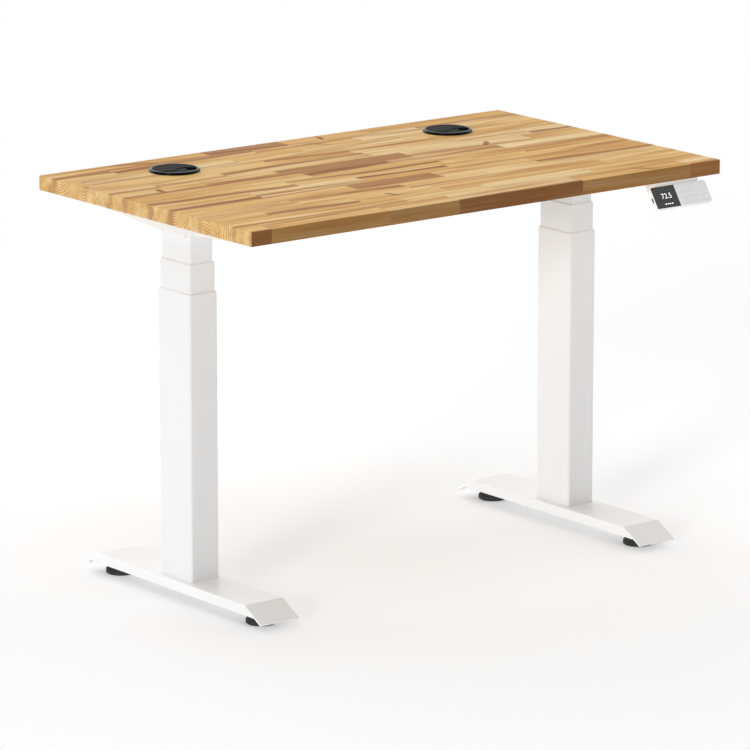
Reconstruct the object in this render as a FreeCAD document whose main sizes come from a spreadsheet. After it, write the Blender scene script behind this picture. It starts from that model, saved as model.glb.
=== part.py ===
import FreeCAD, Part
import os
import re
import Sketcher

# Height adjustable standing desk.  Millimetres, +Z up, +X to the right of the user,
# -Y towards the user.  The origin lies on the floor under the centre of the overall box.
# Each leg is a three-stage lifting column: a fixed outer tube on the foot, a middle
# tube and an inner tube that carries the desktop, driven by a pair of lift screws.

doc = FreeCAD.newDocument("standing_desk")
sheet = doc.addObject("Spreadsheet::Sheet", "Sizes")

SIZES = {
    # desktop
    "top_length": 1000, "top_depth": 600, "top_thick": 25, "top_under": 661, "top_edge": 1.5,
    "leg_spread": 410, "desk_line": 10.82,
    # foot: a folded sheet channel with sloping ends
    "foot_width": 80, "sheet_thick": 2.5, "foot_high": 38, "foot_flat": 208, "foot_reach": 252,
    "foot_tip": 13, "flange_low": 20.5, "bend": 2,
    # levelling feet
    "level_line": 200, "pad_radius": 26, "pad_high": 10, "neck_radius": 9, "neck_high": 12.5,
    "stud_radius": 4, "stud_top": 31.2, "boss_radius": 8, "boss_low": 17, "thread_gap": 0.08,
    # lifting column tubes (width along X, depth along Y, corner radius)
    "outer_wide": 57, "outer_deep": 90, "outer_corner": 4, "outer_end": 528,
    "middle_wide": 52, "middle_deep": 85, "middle_corner": 3.5, "middle_end": 578, "middle_low": 97,
    "inner_wide": 47, "inner_deep": 80, "inner_corner": 3, "inner_end": 631, "inner_low": 149,
    "tube_wall": 1.5, "glide_gap": 0.1, "glide_high": 60, "liner_high": 80, "liner_lip": 2.2,
    "lip_slope": 1.8,
    "plug_thick": 8, "bolt_side": 17, "bolt_fore": 32,
    # lift screws, their nuts and the tubes that hold the nuts
    "post_radius": 16, "post_bore": 14, "post_end": 443, "nut_high": 25,
    "carrier_radius": 20, "carrier_bore": 18, "carrier_plate": 6, "head_low": 515, "head_end": 555,
    "collar_radius": 14, "collar_low": 521, "collar_end": 531, "nut_flange": 19, "flange_thick": 3,
    "hollow_radius": 11, "hollow_bore": 7.5, "hollow_low": 146, "key_width": 4, "key_radius": 9,
    "screw_radius": 7, "screw_low": 240, "screw_end": 655, "dog_high": 8, "running_gap": 0.06,
    # gearbox, motor and the frame under the desktop
    "gear_wide": 72, "gear_deep": 90, "gear_low": 635, "hub_low": 604, "hub_radius": 15.5,
    "wheel_radius": 17, "wheel_low": 642.5, "wheel_high": 11, "boss_reach": 44, "worm_radius": 13,
    "worm_line": 645, "motor_radius": 24, "motor_line": 634, "motor_long": 110, "motor_edge": 2.5,
    "arm_reach": 250, "arm_low": 631, "arm_tip": 649, "arm_flat": 12, "notch_half": 15,
    "frame_bolt_side": 30.5, "frame_bolt_fore": 32, "bolt_radius": 3, "head_radius": 5,
    "head_high": 4, "bolt_gap": 0.2,
    "rail_line": 56, "rail_deep": 24, "rail_high": 22, "rail_mid": 648, "rail_wall": 2, "rail_plug": 4,
    "wood_screw_radius": 2, "wood_head_radius": 4.4, "wood_head_high": 2, "wood_screw_deep": 14,
    # control box
    "box_wide": 220, "box_deep": 90, "box_high": 29, "box_line": 125, "box_edge": 3,
    "lug_wide": 18, "lug_deep": 24, "lug_thick": 3, "lug_fore": 28,
    "port_wide": 14, "port_high": 8, "port_deep": 9, "tongue_wide": 10, "tongue_high": 3.4,
    # cable grommets
    "grommet_side": 296, "grommet_fore": 192, "hole_radius": 40, "ring_radius": 43.5,
    "ring_high": 4.6, "sleeve_radius": 39.7, "sleeve_bore": 38.2, "sleeve_deep": 22,
    "seat_radius": 35.5, "seat_low": 4.5, "lid_radius": 38, "lid_thick": 3.4, "lid_drop": 0.4,
    "scoop_deep": 0.7,
    # handset under the front edge, on a plane that leans back
    "set_line": 403.5, "set_fore": 322, "set_low": 621.5, "set_lean": 33.9, "set_wide": 124.2,
    "set_high": 41, "set_deep": 10, "set_corner": 5.5, "neck_wide": 96, "glass_wide": 51.9,
    "glass_deep": 1.5, "glass_edge": 0.6, "key_wide": 14.2, "key_high": 14.6, "key_deep": 3.2,
    "key_proud": 0.4, "key_gap": 0.2, "key_well": 3.8, "key_round": 1.5, "key_pitch": 17.1,
    "key_row": 20.6, "key_margin": 2,
    "slot_long": 9, "slot_wide": 3.4, "slot_deep": 7,
}
for row, (alias, value) in enumerate(SIZES.items(), start=1):
    sheet.set("A%d" % row, alias)
    sheet.set("B%d" % row, str(value))
    sheet.setAlias("B%d" % row, alias)
doc.recompute()

Vector = FreeCAD.Vector
Placement = FreeCAD.Placement
Rotation = FreeCAD.Rotation
LEFT_RIGHT = (("left", -1), ("right", 1))
pieces = []


def size(alias):
    """The number in one cell of the sheet."""
    return float(sheet.get(alias))


def value_of(text):
    """The value of a sum of cells, such as 'foot_width/2 - sheet_thick'."""
    return float(sheet.evalExpression(text))


def bound(text):
    """The same sum with each cell written as the sheet's own, for an expression."""
    return re.sub(r"[a-z][a-z_]*", lambda word: "Sizes." + word.group(), text)


def bind(thing, **sums):
    """Bind properties of an object to sums of cells."""
    for name, text in sums.items():
        thing.setExpression(name, bound(text))


def piece(thing, label, place=None):
    """Name a finished sub-part, put it in its place and remember it."""
    thing.Label = label
    if place is not None:
        thing.Placement = place
    pieces.append(thing)
    return thing


def at(x, y, z=0, turn=0):
    """A place given from the middle of the desk, with an optional turn about Z."""
    return Placement(Vector(x, y + size("desk_line"), z), Rotation(Vector(0, 0, 1), turn))


def leg_place(sign):
    """The axis of one leg, turned so that its own +X points to the middle of the desk."""
    return at(sign * size("leg_spread"), 0, 0, 0 if sign < 0 else 180)


# ---------------------------------------------------------------- sketches and features

def sketch_on(body, name, plane="XY_Plane", offset=None):
    """A sketch on one of the body's own origin planes, moved along the plane's normal."""
    sketch = body.newObject("Sketcher::SketchObject", name)
    flat = [f for f in body.Origin.OriginFeatures if f.Role == plane][0]
    sketch.AttachmentSupport = [(flat, "")]
    sketch.MapMode = "FlatFace"
    if offset is not None:
        sketch.setExpression("AttachmentOffset.Base.z", bound(offset))
    return sketch


def fix_point(sketch, geo, end, axis, text):
    """Tie one point of a sketch to the sketch origin along one axis."""
    value = value_of(text)
    if abs(value) < 1e-9:
        sketch.addConstraint(Sketcher.Constraint("PointOnObject", geo, end, -2 if axis == "X" else -1))
        return
    kind = "Distance" + axis
    if value > 0:
        index = sketch.addConstraint(Sketcher.Constraint(kind, -1, 1, geo, end, value))
    else:
        index = sketch.addConstraint(Sketcher.Constraint(kind, geo, end, -1, 1, -value))
        text = "-(%s)" % text
    sketch.setExpression("Constraints[%d]" % index, bound(text))


def polygon(sketch, corners):
    """A closed outline whose corners are pairs of sums of cells."""
    points = [Vector(value_of(x), value_of(y), 0) for x, y in corners]
    first = sketch.GeometryCount
    count = len(points)
    for i in range(count):
        sketch.addGeometry(Part.LineSegment(points[i], points[(i + 1) % count]), False)
    for i in range(count):
        following = first + (i + 1) % count
        sketch.addConstraint(Sketcher.Constraint("Coincident", first + i, 2, following, 1))
    for i, (x, y) in enumerate(corners):
        fix_point(sketch, first + i, 1, "X", x)
        fix_point(sketch, first + i, 1, "Y", y)


def rectangle(sketch, wide, high, x="0", y="0"):
    """A rectangle about a centre."""
    left, right = "%s - (%s)/2" % (x, wide), "%s + (%s)/2" % (x, wide)
    low, top = "%s - (%s)/2" % (y, high), "%s + (%s)/2" % (y, high)
    polygon(sketch, [(left, low), (right, low), (right, top), (left, top)])


def circle(sketch, radius, x="0", y="0"):
    """A circle about a centre."""
    centre = Vector(value_of(x), value_of(y), 0)
    geo = sketch.addGeometry(Part.Circle(centre, Vector(0, 0, 1), value_of(radius)), False)
    fix_point(sketch, geo, 3, "X", x)
    fix_point(sketch, geo, 3, "Y", y)
    index = sketch.addConstraint(Sketcher.Constraint("Radius", geo, value_of(radius)))
    sketch.setExpression("Constraints[%d]" % index, bound(radius))


def rounded(sketch, wide, high, corner):
    """A rectangle about the sketch origin with four equal tangent corners."""
    half_x, half_y, r = value_of(wide) / 2, value_of(high) / 2, value_of(corner)
    first = sketch.GeometryCount
    inner_x, inner_y = half_x - r, half_y - r
    ends = [((-inner_x, -half_y), (inner_x, -half_y)), ((half_x, -inner_y), (half_x, inner_y)),
            ((inner_x, half_y), (-inner_x, half_y)), ((-half_x, inner_y), (-half_x, -inner_y))]
    middles = [(inner_x, -inner_y), (inner_x, inner_y), (-inner_x, inner_y), (-inner_x, -inner_y)]
    for i in range(4):
        start, stop = ends[i]
        sketch.addGeometry(Part.LineSegment(Vector(*start, 0), Vector(*stop, 0)), False)
        round_ = Part.Circle(Vector(*middles[i], 0), Vector(0, 0, 1), r)
        angle = (i - 1) * 1.5707963267948966
        sketch.addGeometry(Part.ArcOfCircle(round_, angle, angle + 1.5707963267948966), False)
    for i in range(4):
        line, arc, following = first + 2 * i, first + 2 * i + 1, first + (2 * i + 2) % 8
        sketch.addConstraint(Sketcher.Constraint("Tangent", line, 2, arc, 1))
        sketch.addConstraint(Sketcher.Constraint("Tangent", arc, 2, following, 1))
        kind = "Horizontal" if i % 2 == 0 else "Vertical"
        sketch.addConstraint(Sketcher.Constraint(kind, line))
    for i in range(1, 4):
        sketch.addConstraint(Sketcher.Constraint("Equal", first + 1, first + 2 * i + 1))
    sketch.addConstraint(Sketcher.Constraint("Symmetric", first + 1, 3, first + 5, 3, -1, 1))
    index = sketch.addConstraint(Sketcher.Constraint("Radius", first + 1, r))
    sketch.setExpression("Constraints[%d]" % index, bound(corner))
    for kind, line, other, text in (("DistanceX", first + 6, first + 2, wide),
                                    ("DistanceY", first, first + 4, high)):
        index = sketch.addConstraint(Sketcher.Constraint(kind, line, 1, other, 1, value_of(text)))
        sketch.setExpression("Constraints[%d]" % index, bound(text))


def body_named(name):
    return doc.addObject("PartDesign::Body", name)


def pad(body, sketch, length, middle=False, reverse=False):
    """Raise a sketch into a solid."""
    feature = body.newObject("PartDesign::Pad", sketch.Name + "Pad")
    feature.Profile = sketch
    feature.setExpression("Length", bound(length))
    feature.Midplane = middle
    feature.Reversed = reverse
    doc.recompute()
    return feature


def pocket(body, sketch, length, middle=False, reverse=False):
    """Cut a sketch out of the solid, and make sure that it took something away."""
    before = body.Shape.Volume
    feature = body.newObject("PartDesign::Pocket", sketch.Name + "Cut")
    feature.Profile = sketch
    feature.setExpression("Length", bound(length))
    feature.Midplane = middle
    feature.Reversed = reverse
    doc.recompute()
    if not body.Shape.Volume < before - 1e-6:
        raise RuntimeError("nothing was cut by " + sketch.Name)
    return feature


def turned(body, name, corners):
    """A revolution about Z of an outline given as (radius, height) sums."""
    sketch = sketch_on(body, name, "XZ_Plane")
    polygon(sketch, corners)
    feature = body.newObject("PartDesign::Revolution", name + "Turn")
    feature.Profile = sketch
    feature.ReferenceAxis = (sketch, ["V_Axis"])
    feature.Angle = 360
    doc.recompute()
    return feature


def soften(body, radius, chosen):
    """Round the edges of the solid that a test picks."""
    base = body.Tip
    edges = base.Shape.Edges
    names = ["Edge%d" % (i + 1) for i, edge in enumerate(edges) if chosen(edge)]
    feature = body.newObject("PartDesign::Fillet", body.Name + "Round%d" % len(body.Group))
    feature.Base = (base, names)
    feature.setExpression("Radius", bound(radius))
    doc.recompute()
    return feature


def near(a, b, slack=0.01):
    return abs(a - b) < slack


def flat_at(edge, axis, value):
    """Whether a whole edge lies in the plane axis = value."""
    ends = [getattr(vertex.Point, axis) for vertex in edge.Vertexes]
    middle = getattr(edge.valueAt((edge.FirstParameter + edge.LastParameter) / 2), axis)
    return all(near(end, value) for end in ends + [middle])


# ------------------------------------------------------------------------- Part objects

def box(name, wide, deep, high, x, y, z):
    """A box given by its sizes and its lowest corner, all as sums of cells."""
    thing = doc.addObject("Part::Box", name)
    bind(thing, Length=wide, Width=deep, Height=high)
    for axis, text in zip("xyz", (x, y, z)):
        thing.setExpression("Placement.Base." + axis, bound(text))
    return thing


def cylinder(name, radius, high, x="0", y="0", z="0", along=None):
    """A cylinder from a centre of its low face, upright unless another axis is given."""
    thing = doc.addObject("Part::Cylinder", name)
    bind(thing, Radius=radius, Height=high)
    if along is not None:
        thing.Placement = Placement(Vector(0, 0, 0), Rotation(Vector(0, 0, 1), along))
    for axis, text in zip("xyz", (x, y, z)):
        thing.setExpression("Placement.Base." + axis, bound(text))
    return thing


def fused(name, things):
    thing = doc.addObject("Part::MultiFuse", name)
    thing.Shapes = things
    thing.Refine = True
    return thing


def cut(name, base, tool):
    thing = doc.addObject("Part::Cut", name)
    thing.Base = base
    thing.Tool = tool
    return thing


def group_of(name, shapes):
    """Identical fasteners as one object that holds separate solids."""
    thing = doc.addObject("Part::Feature", name)
    thing.Shape = Part.makeCompound(shapes)
    return thing


def bolt(head_radius, head_high, shank_radius, shank_long):
    """A fastener along +Z: its head ends at zero and its shank goes up from there."""
    head = Part.makeCylinder(head_radius, head_high, Vector(0, 0, -head_high))
    rim = [edge for edge in head.Edges if flat_at(edge, "z", -head_high)]
    head = head.makeFillet(head_high * 0.25, rim)
    drive = Part.makeCylinder(shank_radius * 0.6, head_high * 0.5, Vector(0, 0, -head_high))
    shank = Part.makeCylinder(shank_radius, shank_long)
    return head.cut(drive).fuse(shank).removeSplitter()


def set_at(shape, place):
    copy = shape.copy()
    copy.Placement = place
    return copy


# ------------------------------------------------------------------------ foot and base

def make_foot(name):
    """A folded channel: flat top, sloping end flaps and low side flanges."""
    body = body_named(name)
    side = sketch_on(body, name + "Side", "YZ_Plane")
    slope = "(foot_high - foot_tip)/(foot_reach - foot_flat)"
    under = "foot_high - sheet_thick"
    bend_line = "(foot_flat - 0.26*sheet_thick)"
    flange_end = "(%s + (%s - flange_low)/(%s))" % (bend_line, under, slope)
    tip_y = "(foot_reach - 0.49*sheet_thick)"
    tip_z = "foot_tip - 0.87*sheet_thick"
    right = [("foot_flat", "foot_high"), ("foot_reach", "foot_tip"), (tip_y, tip_z),
             (flange_end, "flange_low")]
    left = [("-%s" % y, z) for y, z in reversed(right)]
    polygon(side, right + left)
    pad(body, side, "foot_width", middle=True)
    half = size("foot_width") / 2

    def long_top_edge(edge):
        ends = [vertex.Point for vertex in edge.Vertexes]
        same_side = all(near(abs(end.x), half) for end in ends) and near(ends[0].x, ends[1].x)
        outer = all(near(end.z, size("foot_high")) or near(abs(end.y), size("foot_reach")) for end in ends)
        return same_side and outer and edge.Length > 20

    soften(body, "bend", long_top_edge)
    hollow = sketch_on(body, name + "Hollow", "YZ_Plane")
    polygon(hollow, [(bend_line, under), (flange_end, "flange_low"), (flange_end + " + 2", "flange_low - 8"),
                     ("-%s - 2" % flange_end, "flange_low - 8"), ("-%s" % flange_end, "flange_low"),
                     ("-%s" % bend_line, under)])
    pocket(body, hollow, "foot_width - 2*sheet_thick", middle=True)
    for mark in ("", "-"):
        boss = sketch_on(body, name + ("Boss" if mark else "BossFar"), "XY_Plane", "boss_low")
        circle(boss, "boss_radius", "0", mark + "level_line")
        pad(body, boss, "foot_high - sheet_thick - boss_low")
    threads = sketch_on(body, name + "Threads", "XY_Plane")
    for mark in ("", "-"):
        circle(threads, "stud_radius + thread_gap", "0", mark + "level_line")
    pocket(body, threads, under, reverse=True)
    holes = sketch_on(body, name + "Holes", "XY_Plane")
    for side_mark in ("", "-"):
        for fore_mark in ("", "-"):
            circle(holes, "stud_radius + bolt_gap", side_mark + "bolt_side", fore_mark + "bolt_fore")
    pocket(body, holes, "foot_high + 1", reverse=True)
    return body


def make_outer_column(name):
    """The fixed outer tube with the plate welded into its lower end."""
    body = body_named(name)
    ring = sketch_on(body, name + "Ring", "XY_Plane", "foot_high")
    rounded(ring, "outer_wide", "outer_deep", "outer_corner")
    rounded(ring, "outer_wide - 2*tube_wall", "outer_deep - 2*tube_wall", "outer_corner - tube_wall")
    pad(body, ring, "outer_end - foot_high")
    plug = sketch_on(body, name + "Plug", "XY_Plane", "foot_high")
    rounded(plug, "outer_wide - tube_wall", "outer_deep - tube_wall", "outer_corner - tube_wall/2")
    pad(body, plug, "plug_thick")
    holes = sketch_on(body, name + "Holes", "XY_Plane", "foot_high")
    for side_mark in ("", "-"):
        for fore_mark in ("", "-"):
            circle(holes, "stud_radius", side_mark + "bolt_side", fore_mark + "bolt_fore")
    pocket(body, holes, "plug_thick", reverse=True)
    return body


def make_tube(name, stage):
    """A plain moving tube of the column."""
    body = body_named(name)
    ring = sketch_on(body, name + "Ring", "XY_Plane", stage + "_low")
    rounded(ring, stage + "_wide", stage + "_deep", stage + "_corner")
    rounded(ring, stage + "_wide - 2*tube_wall", stage + "_deep - 2*tube_wall", stage + "_corner - tube_wall")
    pad(body, ring, "%s_end - %s_low" % (stage, stage))
    return body


def make_liner(name, holder, slider):
    """The plastic sleeve inside the mouth of one tube that guides the next, with a thin lip."""
    body = body_named(name)
    bore = (slider + "_wide + 2*glide_gap", slider + "_deep + 2*glide_gap", slider + "_corner + glide_gap")
    sleeve = sketch_on(body, name + "Sleeve", "XY_Plane", holder + "_end - liner_high")
    rounded(sleeve, holder + "_wide - 2*tube_wall", holder + "_deep - 2*tube_wall",
            holder + "_corner - tube_wall")
    rounded(sleeve, *bore)
    pad(body, sleeve, "liner_high")
    lip = sketch_on(body, name + "Lip", "XY_Plane", holder + "_end")
    rounded(lip, holder + "_wide", holder + "_deep", holder + "_corner")
    rounded(lip, *bore)
    pad(body, lip, "liner_lip")
    half_x, half_y = value_of(holder + "_wide/2"), value_of(holder + "_deep/2")
    top = value_of(holder + "_end + liner_lip")

    def outer_rim(edge):
        middle = edge.valueAt((edge.FirstParameter + edge.LastParameter) / 2)
        return flat_at(edge, "z", top) and (abs(middle.x) > half_x - 1.3 or abs(middle.y) > half_y - 1.3)

    base = body.Tip
    rim = ["Edge%d" % i for i, edge in enumerate(base.Shape.Edges, 1) if outer_rim(edge)]
    chamfer = body.newObject("PartDesign::Chamfer", name + "Slope")
    chamfer.Base = (base, rim)
    chamfer.setExpression("Size", bound("lip_slope"))
    doc.recompute()
    return body


def make_glide(name, slider, holder):
    """The plastic glide round the low end of a moving tube, running in the tube outside it."""
    body = body_named(name)
    ring = sketch_on(body, name + "Ring", "XY_Plane", slider + "_low")
    rounded(ring, holder + "_wide - 2*tube_wall - 2*glide_gap", holder + "_deep - 2*tube_wall - 2*glide_gap",
            holder + "_corner - tube_wall - glide_gap")
    rounded(ring, slider + "_wide", slider + "_deep", slider + "_corner")
    pad(body, ring, "glide_high")
    return body


def make_post(name):
    """The fixed round post that holds the lower nut."""
    body = body_named(name)
    turned(body, name + "Wall", [("post_bore", "foot_high + plug_thick"),
                                 ("post_radius", "foot_high + plug_thick"),
                                 ("post_radius", "post_end"), ("post_bore", "post_end")])
    return body


def make_lower_nut(name):
    """The bronze nut on top of the fixed post, with a spigot down into it."""
    body = body_named(name)
    turned(body, name + "Wall", [("hollow_radius + running_gap", "post_end - 8"), ("post_bore", "post_end - 8"),
                                 ("post_bore", "post_end"), ("post_radius", "post_end"),
                                 ("post_radius", "post_end + nut_high"),
                                 ("hollow_radius + running_gap", "post_end + nut_high")])
    return body


def make_carrier(name):
    """The middle stage's end plate, with the tube and bearing head that hold the upper nut."""
    body = body_named(name)
    plate = sketch_on(body, name + "Plate", "XY_Plane", "middle_low")
    rounded(plate, "middle_wide - 2*tube_wall", "middle_deep - 2*tube_wall", "middle_corner - tube_wall")
    circle(plate, "post_radius + 0.4")
    pad(body, plate, "carrier_plate")
    foot = "middle_low + carrier_plate"
    turned(body, name + "Wall", [("carrier_bore", foot + " - 1"), ("carrier_radius", foot + " - 1"),
                                 ("carrier_radius", "head_end"), ("collar_radius + running_gap", "head_end"),
                                 ("collar_radius + running_gap", "collar_low"),
                                 ("hollow_radius + running_gap", "collar_low"),
                                 ("hollow_radius + running_gap", "head_low"), ("carrier_bore", "head_low")])
    return body


def make_upper_nut(name):
    """The bronze nut that is let into the bearing head from above."""
    body = body_named(name)
    turned(body, name + "Wall", [("screw_radius + running_gap", "collar_end"), ("collar_radius", "collar_end"),
                                 ("collar_radius", "head_end"), ("nut_flange", "head_end"),
                                 ("nut_flange", "head_end + flange_thick"),
                                 ("screw_radius + running_gap", "head_end + flange_thick")])
    return body


def make_hollow_screw(name):
    """The lower lift screw: hollow, with a collar in the bearing head and two keyways inside."""
    body = body_named(name)
    turned(body, name + "Wall", [("hollow_bore", "hollow_low"), ("hollow_radius", "hollow_low"),
                                 ("hollow_radius", "collar_low + 0.1"), ("collar_radius", "collar_low + 0.1"),
                                 ("collar_radius", "collar_end - 0.1"), ("hollow_bore", "collar_end - 0.1")])
    keyway = sketch_on(body, name + "Keyway", "XY_Plane", "hollow_low")
    rectangle(keyway, "2*key_radius", "key_width")
    pocket(body, keyway, "collar_end - hollow_low", reverse=True)
    return body


def make_screw(name):
    """The upper lift screw, with the driving dog at its low end that slides in the keyways."""
    body = body_named(name)
    shaft = sketch_on(body, name + "Shaft", "XY_Plane", "screw_low")
    circle(shaft, "screw_radius")
    pad(body, shaft, "screw_end - screw_low")
    dog = sketch_on(body, name + "Dog", "XY_Plane", "screw_low")
    rectangle(dog, "2*key_radius - 0.5", "key_width - 0.5")
    pad(body, dog, "dog_high")
    return body


def make_wheel(name):
    """The worm wheel fixed on top of the upper lift screw."""
    body = body_named(name)
    turned(body, name + "Rim", [("screw_radius", "wheel_low"), ("wheel_radius", "wheel_low"),
                                ("wheel_radius - 1.2", "wheel_low + wheel_high/2"),
                                ("wheel_radius", "wheel_low + wheel_high"),
                                ("screw_radius", "wheel_low + wheel_high")])
    return body


def make_leveller(name):
    """A levelling foot: a wide soft pad moulded on a threaded stud."""
    body = body_named(name)
    turned(body, name + "Pad", [("0", "0"), ("pad_radius - 1.5", "0"), ("pad_radius", "1.5"),
                                ("pad_radius", "pad_high - 3"), ("pad_radius - 2.5", "pad_high"),
                                ("neck_radius + 1", "pad_high"), ("neck_radius", "neck_high"),
                                ("stud_radius", "neck_high"), ("stud_radius", "stud_top - 0.8"),
                                ("stud_radius - 0.8", "stud_top"), ("0", "stud_top")])
    return body


def make_inner_column(name):
    """The inner tube with the flange plate that carries the frame."""
    body = make_tube(name, "inner")
    plate = sketch_on(body, name + "Flange", "XY_Plane", "inner_end")
    rectangle(plate, "gear_wide", "gear_deep")
    circle(plate, "hub_radius + 0.5")
    for side_mark in ("", "-"):
        for fore_mark in ("", "-"):
            circle(plate, "bolt_radius + bolt_gap", side_mark + "frame_bolt_side",
                   fore_mark + "frame_bolt_fore")
    pad(body, plate, "gear_low - inner_end")
    return body


def make_gearbox(name):
    """The worm gearbox: a flat housing with a bearing hub below and the motor's boss at its side."""
    top = "top_under - sheet_thick"
    block = box(name + "Block", "gear_wide", "gear_deep", "%s - gear_low" % top, "-gear_wide/2",
                "-gear_deep/2", "gear_low")
    hub = cylinder(name + "Hub", "hub_radius", "gear_low - hub_low + 1", z="hub_low")
    boss = cylinder(name + "Boss", "worm_radius", "boss_reach - gear_wide/2", "gear_wide/2", "0",
                    "worm_line")
    boss.Placement.Rotation = Rotation(Vector(0, 1, 0), 90)
    solid = fused(name + "Solid", [block, hub, boss])
    bore = cylinder(name + "Bore", "screw_radius + running_gap", "screw_end - hub_low + 2", z="hub_low - 1")
    well = cylinder(name + "Well", "wheel_radius + 0.5", "wheel_high + 1", z="wheel_low - 0.5")
    tools = [bore, well]
    for i, (side_mark, fore_mark) in enumerate((("", ""), ("", "-"), ("-", ""), ("-", "-"))):
        tools.append(cylinder(name + "Bolt%d" % i, "bolt_radius + bolt_gap", "%s - gear_low + 2" % top,
                              side_mark + "frame_bolt_side", fore_mark + "frame_bolt_fore", "gear_low - 1"))
    return cut(name, solid, fused(name + "Tools", tools))


def make_motor(name):
    """The drive motor: a round can on its side with softened ends and a rear bearing cap."""
    body = body_named(name)
    can = sketch_on(body, name + "Can", "YZ_Plane", "boss_reach")
    circle(can, "motor_radius", "0", "motor_line")
    pad(body, can, "motor_long")
    cap = sketch_on(body, name + "Cap", "YZ_Plane", "boss_reach + motor_long")
    circle(cap, "motor_radius/3", "0", "motor_line")
    pad(body, cap, "4")
    ends = (size("boss_reach"), size("boss_reach") + size("motor_long"))
    soften(body, "motor_edge", lambda edge: near(edge.Length, 6.2832 * size("motor_radius"), 1)
           and any(flat_at(edge, "x", end) for end in ends))
    return body


def make_arm(name):
    """The frame arm under the desktop: a channel whose side flanges taper to both tips."""
    body = body_named(name)
    side = sketch_on(body, name + "Side", "YZ_Plane")
    polygon(side, [("-arm_reach", "top_under"), ("-arm_reach", "arm_tip"), ("-arm_flat", "arm_low"),
                   ("arm_flat", "arm_low"), ("arm_reach", "arm_tip"), ("arm_reach", "top_under")])
    pad(body, side, "foot_width", middle=True)
    soften(body, "bend", lambda edge: near(edge.Length, size("foot_width"), 0.01)
           and flat_at(edge, "z", size("top_under")))
    hollow = sketch_on(body, name + "Hollow", "YZ_Plane")
    polygon(hollow, [("-arm_reach + sheet_thick", "top_under - sheet_thick"),
                     ("-arm_reach + sheet_thick", "arm_low - 10"),
                     ("arm_reach - sheet_thick", "arm_low - 10"),
                     ("arm_reach - sheet_thick", "top_under - sheet_thick")])
    pocket(body, hollow, "foot_width - 2*sheet_thick", middle=True)
    notch = sketch_on(body, name + "Notch", "YZ_Plane", "foot_width/2 - sheet_thick - 1")
    polygon(notch, [("-notch_half", "top_under - sheet_thick"), ("-notch_half", "arm_low - 10"),
                    ("notch_half", "arm_low - 10"), ("notch_half", "top_under - sheet_thick")])
    pocket(body, notch, "sheet_thick + 4", reverse=True)
    rail_holes = sketch_on(body, name + "RailHoles", "YZ_Plane", "foot_width/2 - sheet_thick - 1")
    for mark in ("", "-"):
        circle(rail_holes, "bolt_radius + bolt_gap", mark + "rail_line", "rail_mid")
    pocket(body, rail_holes, "sheet_thick + 4", reverse=True)
    top_holes = sketch_on(body, name + "TopHoles", "XY_Plane", "top_under - sheet_thick - 1")
    for fore in ("arm_reach - 30", "arm_reach/2", "-arm_reach/2", "30 - arm_reach"):
        circle(top_holes, "wood_screw_radius + bolt_gap", "0", fore)
    for side_mark in ("", "-"):
        for fore_mark in ("", "-"):
            circle(top_holes, "bolt_radius", side_mark + "frame_bolt_side", fore_mark + "frame_bolt_fore")
    pocket(body, top_holes, "sheet_thick + 2", reverse=True)
    return body


def make_rail(name):
    """A rail between the two arms: a square tube with a tapped plug welded in each end."""
    half = "(leg_spread - foot_width/2)"
    tube = box(name + "Tube", "2*%s" % half, "rail_deep", "rail_high", "-%s" % half, "-rail_deep/2",
               "rail_mid - rail_high/2")
    hollow = box(name + "Hollow", "2*%s - 2*rail_plug" % half, "rail_deep - 2*rail_wall",
                 "rail_high - 2*rail_wall", "rail_plug - %s" % half, "rail_wall - rail_deep/2",
                 "rail_mid - rail_high/2 + rail_wall")
    tap = cylinder(name + "Tap", "bolt_radius", "2*%s + 2" % half, "-%s - 1" % half, "0", "rail_mid")
    tap.Placement.Rotation = Rotation(Vector(0, 1, 0), 90)
    return cut(name, tube, fused(name + "Tools", [hollow, tap]))


for side, sign in LEFT_RIGHT:
    place = leg_place(sign)
    tag = side.capitalize()
    piece(make_foot("Foot" + tag), "foot_" + side, place)
    piece(make_outer_column("OuterColumn" + tag), "outer_column_" + side, place)
    piece(make_liner("OuterLiner" + tag, "outer", "middle"), "outer_liner_" + side, place)
    piece(make_post("Post" + tag), "nut_post_" + side, place)
    piece(make_lower_nut("LowerNut" + tag), "lower_nut_" + side, place)
    piece(make_tube("MiddleColumn" + tag, "middle"), "middle_column_" + side, place)
    piece(make_liner("MiddleLiner" + tag, "middle", "inner"), "middle_liner_" + side, place)
    piece(make_glide("MiddleGlide" + tag, "middle", "outer"), "middle_glide_" + side, place)
    piece(make_carrier("Carrier" + tag), "nut_carrier_" + side, place)
    piece(make_upper_nut("UpperNut" + tag), "upper_nut_" + side, place)
    piece(make_hollow_screw("HollowScrew" + tag), "lower_screw_" + side, place)
    piece(make_screw("Screw" + tag), "upper_screw_" + side, place)
    piece(make_wheel("Wheel" + tag), "worm_wheel_" + side, place)
    piece(make_inner_column("InnerColumn" + tag), "inner_column_" + side, place)
    piece(make_gearbox("Gearbox" + tag), "gearbox_" + side, place)
    piece(make_motor("Motor" + tag), "motor_" + side, place)
    piece(make_arm("Arm" + tag), "frame_arm_" + side, place)
    for end, fore in (("front", -1), ("rear", 1)):
        piece(make_leveller("Leveller" + tag + end.capitalize()), "leveller_%s_%s" % (side, end),
              at(sign * size("leg_spread"), fore * size("level_line")))
    foot_bolt = bolt(6.5, 4.5, size("stud_radius"), size("sheet_thick") + size("plug_thick") - 0.5)
    foot_bolt_low = size("foot_high") - size("sheet_thick")
    spots = [(x, y) for x in (-1, 1) for y in (-1, 1)]
    shapes = [set_at(foot_bolt, Placement(Vector(x * size("bolt_side"), y * size("bolt_fore"), foot_bolt_low),
                                          Rotation())) for x, y in spots]
    piece(group_of("FootBolts" + tag, shapes), "foot_bolts_" + side, place)

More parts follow.
